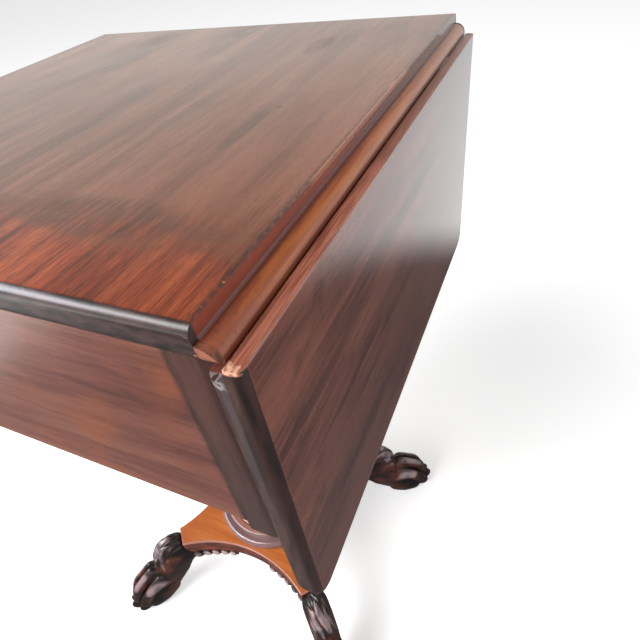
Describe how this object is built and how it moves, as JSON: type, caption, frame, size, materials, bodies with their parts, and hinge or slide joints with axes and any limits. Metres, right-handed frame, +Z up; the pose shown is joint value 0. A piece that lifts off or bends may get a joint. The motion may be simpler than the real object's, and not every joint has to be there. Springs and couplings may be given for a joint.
{
  "type": "drop-leaf end table",
  "caption": "Small square-topped table with hinged drop leaves on rule joints, stacked drawers in a plain case, a turned column, a hollow-sided platform and carved paw feet.",
  "frame": {"origin": "on the floor, under the centre of the top and of the closed table", "axes": "+Z up, +X towards the right leaf, -Y towards the plain back panel, +Y the way the drawers open"},
  "size_m": [0.439, 0.415, 0.74],
  "materials": {
    "carved_mahogany": "carved, dark stained and polished",
    "case_mahogany": "french polished",
    "hinge_iron": "dark, lightly worn",
    "inner_poplar": "planed, unfinished",
    "leaf_mahogany": "french polished",
    "platform_mahogany": "french polished, lighter than the rest",
    "screw_steel": "slotted, dull",
    "top_mahogany": "french polished, with a thin fillet and rounded edges",
    "turned_mahogany": "turned and polished"
  },
  "bodies": {
    "frame": {"back_left_leg": "carved_mahogany", "back_left_post": "case_mahogany", "back_left_wings": "carved_mahogany", "back_panel": "case_mahogany", "back_right_leg": "carved_mahogany", "back_right_post": "case_mahogany", "back_right_wings": "carved_mahogany", "bottom_rail": "case_mahogany", "cap_screws": "screw_steel", "case_bottom": "inner_poplar", "column_cap": "turned_mahogany", "column_collar": "turned_mahogany", "drawer_blade": "case_mahogany", "drawer_guides": "inner_poplar", "drawer_runners": "inner_poplar", "front_left_leg": "carved_mahogany", "front_left_post": "case_mahogany", "front_left_wings": "carved_mahogany", "front_right_leg": "carved_mahogany", "front_right_post": "case_mahogany", "front_right_wings": "carved_mahogany", "glue_blocks": "inner_poplar", "left_hinge_top_flaps": "hinge_iron", "left_side_panel": "case_mahogany", "leg_dowels": "inner_poplar", "loper_carrier": "inner_poplar", "loper_channel_walls": "inner_poplar", "platform": "platform_mahogany", "right_hinge_top_flaps": "hinge_iron", "right_side_panel": "case_mahogany", "table_top": "top_mahogany", "top_flap_screws": "screw_steel", "top_rail": "case_mahogany", "turned_column": "turned_mahogany"},
    "leaf_right": {"right_hinge_leaf_flaps": "hinge_iron", "right_hinge_pins": "hinge_iron", "right_leaf": "leaf_mahogany", "right_leaf_screws": "screw_steel"},
    "leaf_left": {"left_hinge_leaf_flaps": "hinge_iron", "left_hinge_pins": "hinge_iron", "left_leaf": "leaf_mahogany", "left_leaf_screws": "screw_steel"},
    "drawer_upper": {"upper_drawer_back": "inner_poplar", "upper_drawer_bottom": "inner_poplar", "upper_drawer_front": "case_mahogany", "upper_drawer_knobs": "turned_mahogany", "upper_drawer_left_side": "inner_poplar", "upper_drawer_right_side": "inner_poplar"},
    "drawer_lower": {"lower_drawer_back": "inner_poplar", "lower_drawer_bottom": "inner_poplar", "lower_drawer_front": "case_mahogany", "lower_drawer_knobs": "turned_mahogany", "lower_drawer_left_side": "inner_poplar", "lower_drawer_right_side": "inner_poplar"},
    "loper_right": {"right_loper": "inner_poplar", "right_loper_peg": "inner_poplar"},
    "loper_left": {"left_loper": "inner_poplar", "left_loper_peg": "inner_poplar"}
  },
  "joints": [
    {"name": "right_leaf_hinge", "type": "hinge", "parent": "frame", "child": "leaf_right", "pos_m": [0.203, 0, 0.7235], "axis": [0, -1, 0], "range_deg": [0, 90]},
    {"name": "left_leaf_hinge", "type": "hinge", "parent": "frame", "child": "leaf_left", "pos_m": [-0.203, 0, 0.7235], "axis": [0, 1, 0], "range_deg": [0, 90]},
    {"name": "upper_drawer_slide", "type": "slide", "parent": "frame", "child": "drawer_upper", "axis": [0, 1, 0], "range_m": [0, 0.24]},
    {"name": "lower_drawer_slide", "type": "slide", "parent": "frame", "child": "drawer_lower", "axis": [0, 1, 0], "range_m": [0, 0.24]},
    {"name": "right_loper_slide", "type": "slide", "parent": "frame", "child": "loper_right", "axis": [1, 0, 0], "range_m": [0, 0.015]},
    {"name": "left_loper_slide", "type": "slide", "parent": "frame", "child": "loper_left", "axis": [-1, 0, 0], "range_m": [0, 0.015]}
  ]
}
